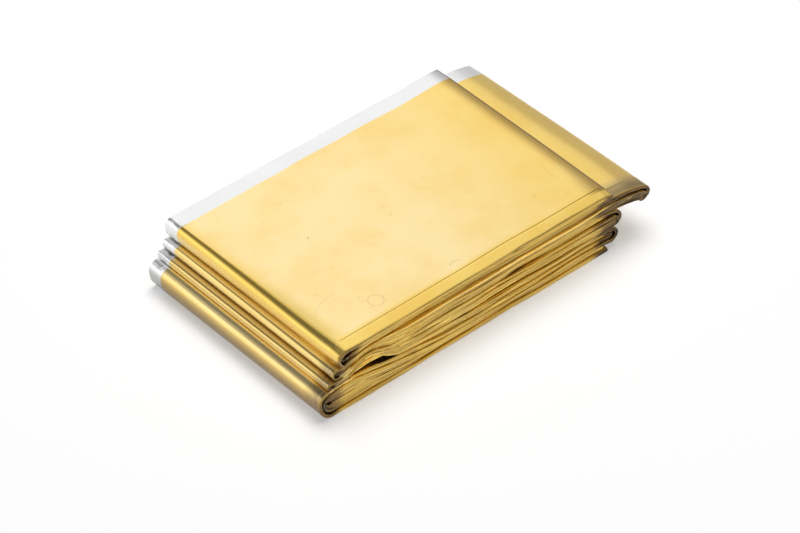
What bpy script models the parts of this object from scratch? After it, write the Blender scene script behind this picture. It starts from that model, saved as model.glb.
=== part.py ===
"""Emergency foil blanket, folded flat for carrying.

One sheet of gold and silver film, 1.4 x 2.1 m, is halved four times across its width into a strip,
halved once along its length, and zigzagged into eight passes. The solid is that strip, with its
sixteen layers of film taken as one thickness, running back and forth through the packet as one
section. The origin is at the middle of the packet's footprint, on the surface it rests on: +X along
the packet, -Y towards the edge with the strip's rounded fold, +Z up.
"""

import math
from collections import namedtuple

import bmesh
import bpy

MM = 0.001

# Driving dimensions, in millimetres.
PACKET_WIDTH = 89.4
PACKET_HEIGHT = 25.6
PASS_COUNT = 8
STRIP_GAP = 0.35

# Each strip has a cell of the stack: its own thickness and the gap above it.
STRIP_COUNT = 2 * PASS_COUNT
STACK_HEIGHT = PACKET_HEIGHT + STRIP_GAP
STRIP_PITCH = STACK_HEIGHT / STRIP_COUNT
STRIP_THICKNESS = STRIP_PITCH - STRIP_GAP

# The loops at the left end, from the top. Each takes the two nested strips from one pass to the next:
# how far the outer strip reaches from the middle of the top pass, the heights of the loop's cells,
# the pitch of its strips there, the share of its height that is above its furthest point, and how far
# the inner strip stops short of the outer one and lies below it.
LeftLoop = namedtuple("LeftLoop", "name reach top bottom pitch shoulder inner_short inner_drop")
LEFT_LOOPS = (
    LeftLoop("first", -61.9, STACK_HEIGHT, 18.7, 1.38, 0.32, 1.7, 0.0),
    LeftLoop("second", -63.8, 18.7, 14.7, 0.96, 0.40, 1.3, 0.0),
    LeftLoop("third", -66.2, 14.7, 11.5, 0.78, 0.45, 1.1, 0.0),
    LeftLoop("lowest", -70.0, 11.5, 0.0, 1.60, 0.27, 4.6, 1.5),
)
TURN_LENGTH = 4.4  # the most that a loop takes to turn, however high it is
SQUEEZE_START = -58.0  # the passes leave the squeezed left end here
SQUEEZE_END = -14.0  # and are evenly spread from here on

# The right ends, from the top: how far each reaches, how much further its front corner reaches than
# its back corner, and how far its tip hangs down where nothing lies under it.
RightEnd = namedtuple("RightEnd", "name reach skew droop")
RIGHT_ENDS = (
    RightEnd("halving fold", 61.6, 0.0, 0.0),
    RightEnd("long flap", 78.5, 3.0, 3.9),
    RightEnd("middle flap", 66.2, 0.4, 1.0),
    RightEnd("low flap", 64.8, 0.0, 1.7),
    RightEnd("free ends", 59.6, 0.0, 0.0),
)
DROOP_START = 55.0
DROOP_LEAN = 0.12  # the share by which a tip hangs lower at the front and higher at the back

# A hollow between two strips that opens onto the front face, and how deep it goes.
Pocket = namedtuple("Pocket", "under_strip left right opening depth")
POCKET = Pocket(9, -60.0, -33.0, 2.0, 30.0)

# How far each strip's edges lie in from the front and back faces, from the top strip down.
StripEdge = namedtuple("StripEdge", "front_in back_in")
STRIP_EDGES = (
    StripEdge(0.0, 0.0),
    StripEdge(0.7, 0.5),
    StripEdge(0.3, 0.9),
    StripEdge(1.0, 0.4),
    StripEdge(0.2, 0.7),
    StripEdge(0.9, 0.3),
    StripEdge(1.2, 0.8),
    StripEdge(0.5, 0.2),
    StripEdge(0.2, 0.6),
    StripEdge(0.8, 1.1),
    StripEdge(0.3, 0.4),
    StripEdge(1.1, 0.9),
    StripEdge(0.6, 0.3),
    StripEdge(0.1, 0.7),
    StripEdge(0.7, 0.2),
    StripEdge(0.0, 0.5),
)

# The strip's own section: a column's distance in from the front or back edge, and the share of the
# full thickness that it has there. The strip's rounded fold is at the front, the film's edges at the
# back, and a pressed crease runs along the front, from which the strip thins towards its edge.
Column = namedtuple("Column", "edge inset share")
COLUMNS = (
    Column("front", 0.0, 0.25),
    Column("front", 0.35, 0.62),
    Column("front", 1.2, 0.86),
    Column("front", 4.7, 1.0),
    Column("front", 22.0, 1.0),
    Column("back", 40.0, 1.0),
    Column("back", 7.0, 1.0),
    Column("back", 0.9, 0.8),
    Column("back", 0.0, 0.4),
)

# Where the straight passes have rows: stretches along X, and the rows' spacing in each.
Stretch = namedtuple("Stretch", "start end spacing")
STRETCHES = (
    Stretch(-58.0, -14.0, 5.5),
    Stretch(-14.0, 50.0, 16.0),
    Stretch(50.0, 77.0, 4.5),
)
STATION_CLEARANCE = 1.5
LOOP_STEPS = 8
FLAP_INNER_SHORT = 2.1  # the inner strip of a right-hand loop stops this much short of the outer one
FREE_END_STEP = 1.6  # the inner free end stops this much short of the outer one

# One row of the strip's path: the strip it is on, its place, its edges' insets and its thickness.
Row = namedtuple("Row", "strip x z front_in back_in thickness")


def clear_scene():
    """Removes every object of the file that the script starts in."""
    for obj in list(bpy.data.objects):
        bpy.data.objects.remove(obj, do_unlink=True)


def smooth_step(share):
    """A share from 0 to 1, eased at both ends."""
    share = min(max(share, 0.0), 1.0)
    return share * share * (3.0 - 2.0 * share)


def left_loop(strip):
    """The left loop that this strip runs into: each takes two passes of two strips."""
    return LEFT_LOOPS[strip // 4]


def right_end(strip):
    """The right end that this strip runs into: the top and bottom passes have one to themselves."""
    return RIGHT_ENDS[(strip + 2) // 4]


def is_inner(strip, side):
    """Whether this strip is the inner one of the two that turn together at that side."""
    place = strip % 4 if side == "left" else (strip + 2) % 4
    return place in (1, 2)


def left_height(strip):
    """The middle height of the strip's cell at the squeezed left end."""
    loop = left_loop(strip)
    heights = (
        loop.top - 0.5 * loop.pitch,
        loop.top - 1.5 * loop.pitch - loop.inner_drop,
        loop.bottom + 1.5 * loop.pitch,
        loop.bottom + 0.5 * loop.pitch,
    )
    return heights[strip % 4]


def right_height(strip):
    """The middle height of the strip's cell where the passes are evenly spread."""
    return STACK_HEIGHT - (strip + 0.5) * STRIP_PITCH


def strip_row(strip, x):
    """The row of a strip at a place along its pass."""
    spread = smooth_step((x - SQUEEZE_START) / (SQUEEZE_END - SQUEEZE_START))
    cell = left_height(strip) + spread * (right_height(strip) - left_height(strip))
    pitch = left_loop(strip).pitch + spread * (STRIP_PITCH - left_loop(strip).pitch)
    edge = STRIP_EDGES[strip]
    return Row(strip, x, cell - STRIP_GAP / 2, edge.front_in, edge.back_in, pitch - STRIP_GAP)


def turn_length(strip, side):
    """How far along X a strip's loop takes to turn, from its straight pass to its furthest point."""
    if side == "left":
        upper = strip // 4 * 4 + (1 if is_inner(strip, side) else 0)
        lower = strip // 4 * 4 + (2 if is_inner(strip, side) else 3)
        return min((left_height(upper) - left_height(lower)) / 2, TURN_LENGTH)
    if right_end(strip) is RIGHT_ENDS[0] or is_inner(strip, side):
        return STRIP_PITCH / 2
    return STRIP_PITCH * 3 / 2


def furthest(strip, side):
    """The X of the middle of a strip's thickness at the furthest point of its loop."""
    if side == "left":
        loop = left_loop(strip)
        short = loop.inner_short if is_inner(strip, side) else 0.0
        return loop.reach + (loop.pitch - STRIP_GAP) / 2 + short
    end = right_end(strip)
    short = FLAP_INNER_SHORT if is_inner(strip, side) and end is not RIGHT_ENDS[0] else 0.0
    return end.reach - STRIP_THICKNESS / 2 - short


def pass_end(strip, side):
    """The X at which a strip's straight pass ends on one side."""
    if side == "right" and right_end(strip) is RIGHT_ENDS[-1]:
        return RIGHT_ENDS[-1].reach - (FREE_END_STEP if strip == STRIP_COUNT - 2 else 0.0)
    inward = 1.0 if side == "left" else -1.0
    return furthest(strip, side) + inward * turn_length(strip, side)


def stations():
    """The places along X at which every straight pass has a row."""
    places = []
    for stretch in STRETCHES:
        count = round((stretch.end - stretch.start) / stretch.spacing)
        places += [stretch.start + stretch.spacing * step for step in range(count)]
    return places


def pass_rows(strip, towards):
    """The rows of a strip's straight pass, in the direction of travel."""
    left = pass_end(strip, "left")
    right = pass_end(strip, "right")
    inner = [x for x in stations() if left + STATION_CLEARANCE < x < right - STATION_CLEARANCE]
    places = [left, *inner, right]
    if towards == "left":
        places.reverse()
    return [strip_row(strip, x) for x in places]


def loop_rows(start, end, side):
    """The rows of a turn from one strip's row to the next strip's, both ends left out."""
    upper, lower = max(start.z, end.z), min(start.z, end.z)
    shoulder = left_loop(start.strip).shoulder if side == "left" else 0.5
    widest_z = upper - shoulder * (upper - lower)
    tip = furthest(start.strip, side)
    rows = []
    for step in range(1, LOOP_STEPS):
        share = step / LOOP_STEPS
        across = math.sin(math.pi * share)
        rise = math.cos(math.pi * share) * (1.0 if start.z > end.z else -1.0)
        base_x = start.x if share <= 0.5 else end.x
        rows.append(
            Row(
                start.strip,
                base_x + (tip - base_x) * across,
                widest_z + rise * ((upper - widest_z) if rise > 0 else (widest_z - lower)),
                start.front_in + share * (end.front_in - start.front_in),
                start.back_in + share * (end.back_in - start.back_in),
                start.thickness,
            )
        )
    return rows


def path_down(first):
    """The rows of one of the two nested strips, from the halving fold down to its free end."""
    rows = []
    for index in range(PASS_COUNT):
        strip = 2 * index + (first + index) % 2
        next_rows = pass_rows(strip, "left" if index % 2 == 0 else "right")
        if rows:
            rows += loop_rows(rows[-1], next_rows[0], "left" if index % 2 else "right")
        rows += next_rows
    return rows


def strip_path():
    """The whole strip: up the outer path, round the halving fold, and down the inner path."""
    outer = path_down(0)
    inner = path_down(1)
    fold = loop_rows(outer[0], inner[0], "right")
    return outer[::-1] + fold + inner


def column_y(row, column):
    """A column's Y in one row."""
    if column.edge == "front":
        return -PACKET_WIDTH / 2 + row.front_in + column.inset
    return PACKET_WIDTH / 2 - row.back_in - column.inset


def pocket_squeeze(row, y):
    """How much each strip over the pocket gives up of its thickness at a point."""
    if row.strip > POCKET.under_strip:
        return 0.0
    along = (row.x - POCKET.left) / (POCKET.right - POCKET.left)
    inwards = (y + PACKET_WIDTH / 2) / POCKET.depth
    if not 0.0 < along < 1.0:
        return 0.0
    opening = POCKET.opening * math.sin(math.pi * along) * (1.0 - smooth_step(inwards))
    return opening / (POCKET.under_strip + 1)


def hang(row, y):
    """How far a point near a flap's tip moves along X and down, as the flap bends without thinning."""
    end = right_end(row.strip)
    middle = STACK_HEIGHT - 4 * RIGHT_ENDS.index(end) * STRIP_PITCH
    share = max(row.x - DROOP_START, 0.0) / (end.reach - DROOP_START)
    towards_front = -2 * y / PACKET_WIDTH
    drop = end.droop * (1 + DROOP_LEAN * towards_front)
    slope = 2 * share * drop / (end.reach - DROOP_START)
    above = row.z - middle
    along = share * towards_front * end.skew / 2 + above * math.sin(math.atan(slope))
    down = share * share * drop + above * (1 - math.cos(math.atan(slope)))
    return along, down


def foil_material():
    """Gold-lacquered metallised film."""
    material = bpy.data.materials.new("gold_foil")
    material.use_nodes = True
    shader = material.node_tree.nodes["Principled BSDF"]
    shader.inputs["Base Color"].default_value = (0.88, 0.62, 0.20, 1.0)
    shader.inputs["Metallic"].default_value = 1.0
    shader.inputs["Roughness"].default_value = 0.22
    return material


def place_sheet(sheet, rows):
    """Lays a flat grid along the path, and returns each vertex's share of the full thickness."""
    middle_x = (LEFT_LOOPS[-1].reach + RIGHT_ENDS[1].reach + RIGHT_ENDS[1].skew / 2) / 2
    shares = []
    for number, vertex in enumerate(sheet.verts):
        row = rows[number // len(COLUMNS)]
        column = COLUMNS[number % len(COLUMNS)]
        y = column_y(row, column)
        along, down = hang(row, y)
        squeeze = pocket_squeeze(row, y)
        z = row.z - down + squeeze * (row.strip + 0.5)
        vertex.co = ((row.x + along - middle_x) * MM, y * MM, z * MM)
        shares.append(column.share * (row.thickness - squeeze) / STRIP_THICKNESS)
    return shares


def blanket(collection):
    """The folded strip as one solid: a grid laid along the path, then given its thickness."""
    rows = strip_path()
    sheet = bmesh.new()
    bmesh.ops.create_grid(sheet, x_segments=len(COLUMNS) - 1, y_segments=len(rows) - 1, size=1.0)
    sheet.verts.ensure_lookup_table()
    shares = place_sheet(sheet, rows)
    mesh = bpy.data.meshes.new("foil_blanket")
    sheet.to_mesh(mesh)
    sheet.free()
    obj = bpy.data.objects.new("foil_blanket", mesh)
    collection.objects.link(obj)
    thickness = obj.vertex_groups.new(name="thickness")
    for number, share in enumerate(shares):
        thickness.add([number], share, "REPLACE")
    solid = obj.modifiers.new("strip thickness", "SOLIDIFY")
    solid.thickness = STRIP_THICKNESS * MM
    solid.offset = 0.0
    solid.vertex_group = thickness.name
    mesh.shade_smooth()
    mesh.materials.append(foil_material())
    return obj


def main():
    clear_scene()
    collection = bpy.data.collections.new("emergency_foil_blanket")
    bpy.context.scene.collection.children.link(collection)
    obj = blanket(collection)
    print(obj.name, "made from", len(obj.data.polygons), "faces along the strip")


main()
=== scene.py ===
# %% [markdown]
# # An emergency foil blanket, folded for carrying
# The real thing is one sheet of plastic film, 12 micrometres thick, with metal on it: gold lacquer
# on one side, bare silver on the other. It is halved again and again into a narrow strip, and the
# strip is zigzagged into a packet. The packed CAD solid holds that packet as one thick strip. Here
# the real sheet is laid along the solid's folds, every layer of it, so that its edges, its loops
# and its silver margin show where they do on the real packet.

import math
from collections import namedtuple

import bpy
import numpy as np
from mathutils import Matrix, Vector


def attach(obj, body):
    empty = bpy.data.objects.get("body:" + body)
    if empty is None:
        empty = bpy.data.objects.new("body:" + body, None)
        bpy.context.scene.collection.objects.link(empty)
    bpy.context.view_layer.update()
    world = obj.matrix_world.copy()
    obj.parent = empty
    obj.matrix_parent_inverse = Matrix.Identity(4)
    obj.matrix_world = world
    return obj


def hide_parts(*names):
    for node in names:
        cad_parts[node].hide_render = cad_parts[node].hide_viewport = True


MM = 0.001
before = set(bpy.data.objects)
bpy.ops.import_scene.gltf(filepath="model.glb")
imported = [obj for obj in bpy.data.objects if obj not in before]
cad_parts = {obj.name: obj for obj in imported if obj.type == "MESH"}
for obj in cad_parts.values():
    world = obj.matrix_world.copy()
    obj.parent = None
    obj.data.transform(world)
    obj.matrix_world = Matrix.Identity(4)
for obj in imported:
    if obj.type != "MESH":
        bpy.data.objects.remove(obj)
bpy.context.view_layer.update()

# %% [markdown]
# ## How halving orders the layers
# Each halving lays one half of the stack, turned over, under the other half. Counting the result
# out by hand goes wrong quickly, so a small function does the folding. It says which piece of the
# width lies at which depth, and the fold between two pieces is then at the rounded front edge for
# odd numbers and at the back, where the sheet's own edges are, for even ones.

# %% Halve the width in Python
SHEET_WIDTH, SHEET_LENGTH = 1.4, 2.1  # metres, while the folds are in millimetres
HALVINGS = 4
SEGMENTS = 2 ** HALVINGS
SEGMENT_WIDTH = SHEET_WIDTH / SEGMENTS


def layer_order(halvings):
    """The pieces of the width, numbered along it from 1, in order from the outside of the strip."""
    stack = [list(range(1, 2 ** halvings + 1))]
    while len(stack[0]) > 1:
        half = len(stack[0]) // 2
        stays = [layer[:half] for layer in stack]
        turns = [layer[half:][::-1] for layer in stack]
        stack = stays + turns[::-1]
    return [layer[0] for layer in stack]


ORDER = layer_order(HALVINGS)
DEPTH_OF = {segment: place for place, segment in enumerate(ORDER)}
print("pieces from the outside in:", ORDER)

# %% [markdown]
# ## The packet's sizes
# These are the folds of the solid, in millimetres. The strip goes back and forth in eight passes of
# two strips each. The left loops were squeezed when the packet was pressed, so each has a pitch of
# its own there, and the right ends are staggered like the steps of a stair. One rule for all of them
# would be shorter, but it would lose the hand that folded this packet, so each has its own line.

# %% Sizes of the folded strip
WIDTH, HEIGHT = 89.4, 25.6
PASSES = 8
STRIPS = 2 * PASSES
STRIP_GAP = 0.35
STACK = HEIGHT + STRIP_GAP
PITCH = STACK / STRIPS
MIDDLE_X = 5.0

# Each left loop, from the top down: its furthest X, its top and bottom, the pitch of its strips,
# how far down its widest place is, how much shorter and lower its inner turn is, how much rounder it
# is at the front than at the back, the height of its ribs, how sharply it tucks in below its widest
# place, and where its two inner strips start to lie loosely.
LeftLoop = namedtuple(
    "LeftLoop", "reach top bottom pitch shoulder inner_short inner_drop widening ribs tuck fill_start"
)
LEFT_LOOPS = (
    LeftLoop(-61.9, STACK, 18.7, 1.38, 0.32, 1.7, 0.0, 1.1, 0.004, 0.42, -57.5),
    LeftLoop(-63.8, 18.7, 14.7, 0.96, 0.40, 1.3, 0.0, 0.5, 0.012, 0.5, -61.0),
    LeftLoop(-66.2, 14.7, 11.5, 0.78, 0.45, 1.1, 0.0, 0.4, 0.030, 0.5, -63.0),
    LeftLoop(-70.0, 11.5, 0.0, 1.60, 0.27, 1.7, 0.0, 0.8, 0.010, 0.9, -68.5),
)
TURN_LENGTH = 4.4
SQUEEZE_START, SQUEEZE_END = -58.0, -14.0

# Each right end, from the top down: its furthest X, how far its edge runs out of square, how far it
# hangs over what ends under it, and the height of its ribs.
RightEnd = namedtuple("RightEnd", "reach skew droop ribs")
RIGHT_ENDS = (
    RightEnd(61.6, 0.0, 0.0, 0.004),
    RightEnd(78.5, 3.0, 3.9, 0.006),
    RightEnd(66.2, 0.4, 1.0, 0.006),
    RightEnd(64.8, 0.0, 1.7, 0.006),
    RightEnd(59.6, 0.0, 0.0, 0.0),
)
DROOP_START, DROOP_LEAN, DROOP_POWER = 55.0, 0.12, 2.7
FLAP_INNER_SHORT, FREE_END_STEP = 2.1, 1.6

# How far each strip's edges lie in from the front and the back of the packet, from the top down.
FRONT_IN = (0.0, 0.7, 0.9, 0.1, 0.8, 0.9, 1.2, 0.5, 0.2, 0.8, 0.3, 1.1, 0.6, 0.1, 0.7, 0.0)
BACK_IN = (0.0, 0.5, 0.9, 0.4, 0.7, 0.3, 0.8, 0.2, 0.6, 1.1, 0.4, 0.9, 0.3, 0.7, 0.2, 0.5)

# Hollows that open onto the front face: the strip above, its ends, how far it opens and how deep.
Hollow = namedtuple("Hollow", "under_strip left right opening depth")
HOLLOWS = (
    Hollow(11, -60.5, -34.0, 5.0, 13.0),
    Hollow(0, 9.0, 20.0, 0.9, 6.0),
    Hollow(1, -60.0, -50.0, 0.7, 9.0),
    Hollow(6, 12.0, 24.0, 0.35, 5.0),
    Hollow(10, 2.0, 12.0, 0.3, 5.0),
)
print(STRIPS, "strips of", round(PITCH, 3), "mm each, gap included")

# %% [markdown]
# ## The strip's path
# Seen from the front, the strip runs up the outer path, round the halving fold at the top right and
# down the inner path. A curve could carry it, but then every row would be equally fine. Instead a
# row of the sheet's vertices stands at each chosen place. Straight passes need few rows where they
# are hidden, and many on the top face and on the loops, where the film reflects like a mirror and
# any corner between two faces would show.

# %% Where the passes and the turns lie
def eased(share):
    """A share from 0 to 1, eased at both ends."""
    share = np.clip(share, 0.0, 1.0)
    return share * share * (3.0 - 2.0 * share)


def left_loop(strip):
    return LEFT_LOOPS[strip // 4]


def right_end(strip):
    return RIGHT_ENDS[(strip + 2) // 4]


def is_inner(strip, side):
    """Whether this strip is the inner one of the two that turn together on that side."""
    return (strip if side == "left" else strip + 2) % 4 in (1, 2)


def left_height(strip):
    loop = left_loop(strip)
    heights = (
        loop.top - 0.5 * loop.pitch,
        loop.top - 1.5 * loop.pitch - loop.inner_drop,
        loop.bottom + 1.5 * loop.pitch,
        loop.bottom + 0.5 * loop.pitch,
    )
    return heights[strip % 4]


def turn_length(strip, side):
    """How far along X a turn takes, from its straight pass to its furthest point."""
    if side == "left":
        loop_start = strip // 4 * 4
        pair = (1, 2) if is_inner(strip, side) else (0, 3)
        rise = left_height(loop_start + pair[0]) - left_height(loop_start + pair[1])
        return min(rise / 2, TURN_LENGTH)
    if right_end(strip) is RIGHT_ENDS[0] or is_inner(strip, side):
        return PITCH / 2
    return PITCH * 3 / 2


def furthest(strip, side):
    """Where the middle of a strip's thickness is at the furthest point of its turn."""
    if side == "left":
        loop = left_loop(strip)
        short = loop.inner_short if is_inner(strip, side) else 0.0
        return loop.reach + (loop.pitch - STRIP_GAP) / 2 + short
    end = right_end(strip)
    nested = is_inner(strip, side) and end is not RIGHT_ENDS[0]
    return end.reach - (PITCH - STRIP_GAP) / 2 - (FLAP_INNER_SHORT if nested else 0.0)


def pass_end(strip, side):
    if side == "right" and right_end(strip) is RIGHT_ENDS[-1]:
        return RIGHT_ENDS[-1].reach - (FREE_END_STEP if strip == STRIPS - 2 else 0.0)
    return furthest(strip, side) + turn_length(strip, side) * (1 if side == "left" else -1)


print("right ends, mm:", [round(pass_end(strip, "right"), 1) for strip in range(0, STRIPS, 2)])

# %% Rows along the path
# A row: its strip, its place, how far its two edges lie in, the strip's pitch there, how far round a
# turn it is, and which side it turns on.
Row = namedtuple("Row", "strip x z front_in back_in pitch turning side")
TOP_SPACING, PASS_SPACING, END_SPACING = 1.8, 2.2, 1.2
END_ZONE = 12.0
OUTER_STEPS, INNER_STEPS = 26, 12


def strip_row(strip, x):
    """The row of a straight pass at a place along it."""
    spread = float(eased((x - SQUEEZE_START) / (SQUEEZE_END - SQUEEZE_START)))
    right_height = STACK - (strip + 0.5) * PITCH
    z = left_height(strip) + spread * (right_height - left_height(strip)) - STRIP_GAP / 2
    pitch = left_loop(strip).pitch + spread * (PITCH - left_loop(strip).pitch)
    return Row(strip, x, z, FRONT_IN[strip], BACK_IN[strip], pitch, 0.0, "pass")


def graded(start, end, spacing, end_spacing):
    """Places from start to end, closer together near both of them."""
    places = [start]
    while places[-1] < end:
        from_end = min(places[-1] - start, end - places[-1])
        share = float(eased(from_end / END_ZONE))
        places.append(places[-1] + end_spacing + share * (spacing - end_spacing))
    stretch = (end - start) / (places[-1] - start)
    return [start + (place - start) * stretch for place in places]


def pass_rows(strip, towards):
    spacing = TOP_SPACING if strip == 0 else PASS_SPACING
    places = graded(pass_end(strip, "left"), pass_end(strip, "right"), spacing, END_SPACING)
    rows = [strip_row(strip, x) for x in places]
    return rows[::-1] if towards == "left" else rows


def turn_rows(start, end, side):
    """The rows of a turn between two passes: a quarter of an ellipse above and one below."""
    upper, lower = max(start.z, end.z), min(start.z, end.z)
    shoulder = left_loop(start.strip).shoulder if side == "left" else 0.5
    widest_z = upper - shoulder * (upper - lower)
    tip = furthest(start.strip, side)
    steps = INNER_STEPS if is_inner(start.strip, side) else OUTER_STEPS
    rows = []
    for step in range(1, steps):
        share = step / steps
        across = math.sin(math.pi * share)
        rise = math.cos(math.pi * share) * (1.0 if start.z > end.z else -1.0)
        base_x = start.x if share <= 0.5 else end.x
        lower_left = side == "left" and rise < 0
        tuck = left_loop(start.strip).tuck if lower_left else 1.0
        rows.append(
            Row(
                start.strip,
                base_x + (tip - base_x) * across ** tuck,
                widest_z + rise * ((upper - widest_z) if rise > 0 else (widest_z - lower)),
                start.front_in + share * (end.front_in - start.front_in),
                start.back_in + share * (end.back_in - start.back_in),
                start.pitch,
                across,
                side,
            )
        )
    return rows


def path_down(first):
    """One of the two nested strips, from the halving fold down to its free end."""
    rows = []
    for index in range(PASSES):
        strip = 2 * index + (first + index) % 2
        following = pass_rows(strip, "left" if index % 2 == 0 else "right")
        if rows:
            rows += turn_rows(rows[-1], following[0], "left" if index % 2 else "right")
        rows += following
    return rows


outer, inner = path_down(0), path_down(1)
ROWS = outer[::-1] + turn_rows(outer[0], inner[0], "right") + inner
print(len(ROWS), "rows along the strip")

# %% [markdown]
# ## The strip's section
# Seen from its end, the strip is the sheet's whole width, back and forth through sixteen layers.
# Each column of vertices has a distance from the front edge and a share of the thickness. The eight
# folds at the front lie inside each other, so only the outermost is seen and it gets many columns.
# The layers between are kept a little closer together than the two outer ones, so that a coarse
# hidden layer never pokes through a fine one. Leaving the hidden ones out would be cheaper, but then
# this wouldn't be one sheet that could be unfolded.

# %% Columns across the strip
Column = namedtuple("Column", "place across from_front depth")
FOLD_ROUND = 0.60
FOLD_STEPS, HIDDEN_FOLD_STEPS = 20, 4
INSET_POWER, LEVEL_POWER = 0.8, 0.75
FOLD_ON_SHEET = 0.0012
NEST_STEP = 0.16
HIDDEN_SHARE = 0.80
BACK_FOLD_IN = {2: 0.3, 4: 0.6, 6: 1.0, 8: 0.5, 10: 0.9, 12: 0.7, 14: 0.4}
LAST_EDGE_IN = 0.7
OUTER_PLACES = (
    1.2, 1.9, 2.7, 3.5, 4.1, 4.45, 4.65, 4.83, 5.0, 5.17, 5.35, 5.6, 6.1, 7.0, 9.0, 12.0, 16.0, 20.5,
    25.5, 31.0, 37.0, 43.0, 49.0, 55.0, 61.0, 67.0, 73.0, 77.5, 81.0, 83.6, 85.6, 87.2, 88.3, 89.0,
)
UNDER_PLACES = (1.2, 2.7, 5.0, 10.0, 20.0, 34.0, 48.0, 62.0, 76.0, 85.0)
HIDDEN_PLACES = (4.0, 30.0, 60.0, 84.0)


def depth_share(segment):
    """A layer's place in the thickness, from 0.5 outside to -0.5 inside."""
    place = DEPTH_OF[segment]
    if place in (0, SEGMENTS - 1):
        return 0.5 - place / (SEGMENTS - 1)
    return HIDDEN_SHARE * (0.5 - (place - 1) / (SEGMENTS - 3))


def straight_columns(segment):
    """The columns of one layer, in the direction in which the width crosses the strip."""
    places = {1: OUTER_PLACES, 2: UNDER_PLACES}.get(segment, HIDDEN_PLACES)
    if segment % 2:
        places = places[::-1]
    return [(segment, place, depth_share(segment)) for place in places]


def fold_columns(fold):
    """The half round from one layer to the next, at the front for odd folds and else at the back."""
    start, end = depth_share(fold), depth_share(fold + 1)
    middle, half = (start + end) / 2, (start - end) / 2
    steps = FOLD_STEPS if fold == 1 else HIDDEN_FOLD_STEPS
    nested = round((0.5 - abs(half)) * 10)
    columns = []
    for step in range(1, steps):
        angle = math.pi * step / steps
        size = FOLD_ROUND * abs(half) / 0.5
        inset = size * (1 - math.sin(angle) ** INSET_POWER)
        if fold % 2:
            inset += NEST_STEP * nested
        else:
            inset = WIDTH - BACK_FOLD_IN[fold] - inset
        level = math.copysign(abs(math.cos(angle)) ** LEVEL_POWER, math.cos(angle))
        columns.append((fold + step / steps, inset, middle + half * level))
    return columns


def section():
    """Every column: its place on the sheet, in metres, and where it lies in the strip."""
    columns = [(1, WIDTH, depth_share(1))]
    for segment in range(1, SEGMENTS + 1):
        columns += straight_columns(segment)
        if segment < SEGMENTS:
            columns += fold_columns(segment)
    columns.append((SEGMENTS, WIDTH - LAST_EDGE_IN, depth_share(SEGMENTS)))
    made = []
    for place, from_front, depth in columns:
        segment = int(place)
        if place > segment:
            across = segment * SEGMENT_WIDTH + (place - segment - 0.5) * FOLD_ON_SHEET
        elif segment % 2:
            across = (segment - 1) * SEGMENT_WIDTH + (1 - from_front / WIDTH) * SEGMENT_WIDTH
        else:
            across = (segment - 1) * SEGMENT_WIDTH + from_front / WIDTH * SEGMENT_WIDTH
        made.append(Column(place, across, from_front, depth))
    return made


COLUMNS = section()
across = [column.across for column in COLUMNS]
print(len(COLUMNS), "columns; rising:", bool(np.all(np.diff(across) > 0)))

# %% [markdown]
# ## Laying the sheet along its folds
# Every vertex is where its row and its column meet. A cloth simulation could fold a flat sheet, but
# with over 250 layers on each other it is slow and ends in some other packet, so the folds are
# worked out instead. First comes the middle of the strip, bent as the packet is. Then each layer is
# set off from that middle, square to the way the strip runs. All layers follow the same middle, so
# they bend together and don't cut through each other.

# %% The strip's two edges
def column_of(values):
    """Values of the rows, as a column that spreads over all the columns."""
    return np.array(values, dtype=float)[:, None]


STRIP_OF = column_of([row.strip for row in ROWS])
ROW_X = column_of([row.x for row in ROWS])
ROW_Z = column_of([row.z for row in ROWS])
TURNING = column_of([row.turning for row in ROWS])
ROW_STEPS = np.hypot(np.diff(ROW_X[:, 0], prepend=0), np.diff(ROW_Z[:, 0], prepend=0))
ALONG = np.cumsum(ROW_STEPS)[:, None]
FROM_FRONT = np.array([column.from_front for column in COLUMNS])[None, :]
DEPTH = np.array([column.depth for column in COLUMNS])[None, :]
ON_FOLD = np.array([column.place - 1 if 1 < column.place < 2 else 0.0 for column in COLUMNS])[None, :]

# Waves are (height, length over 2 pi, start), and the insets fade out from the edge inwards.
FRONT_WAVES = ((0.26, 17.0, 1.3), (0.14, 5.3, 0.0))
BACK_WAVES = ((0.22, 21.0, 0.0), (0.12, 6.7, 0.7))
FRONT_INSET_RUN = 30.0
BACK_INSET_FROM, BACK_INSET_RUN = 60.0, 29.4
WIDENING_RUN = 22.0


def uneven(base, along, waves):
    """A value with a few slow waves added to it, which never line up twice."""
    for height, length, start in waves:
        base = base + height * np.sin(along / length + start)
    return base


def across_places():
    """Each vertex's Y: the front and back edges lie in unevenly, and the middle not at all."""
    front = np.maximum(uneven(column_of([row.front_in for row in ROWS]), ALONG, FRONT_WAVES), 0.0)
    back = np.maximum(uneven(column_of([row.back_in for row in ROWS]), ALONG, BACK_WAVES), 0.0)
    near_front = 1.0 - eased(FROM_FRONT / FRONT_INSET_RUN)
    near_back = eased((FROM_FRONT - BACK_INSET_FROM) / BACK_INSET_RUN)
    return -WIDTH / 2 + FROM_FRONT + front * near_front - back * near_back


def widened(x, y):
    """X with each left turn rounder towards the front than at the back, as it was pressed."""
    widening = column_of([left_loop(row.strip).widening for row in ROWS])
    base = column_of([pass_end(row.strip, "left") for row in ROWS])
    towards_front = -2 * y / WIDTH
    on_left = column_of([row.side == "left" for row in ROWS])
    in_pass = column_of([row.side == "pass" for row in ROWS])
    fade = on_left * (1.0 - TURNING) + in_pass * (1.0 - eased((x - base) / WIDENING_RUN))
    return x + widening * towards_front * fade


print("strip, m:", round(float(ALONG[-1, 0] - ALONG[0, 0]) / 1000, 2))

# %% [markdown]
# ## The rounded front edge
# The halving folds lie along the front, so that side shows rounded film, with lines where the layers
# inside press through. It could be left smooth with the lines as bump, but real lines change where
# the film mirrors the room. So waves along the strip tilt its edge and press the lines into it.

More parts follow.
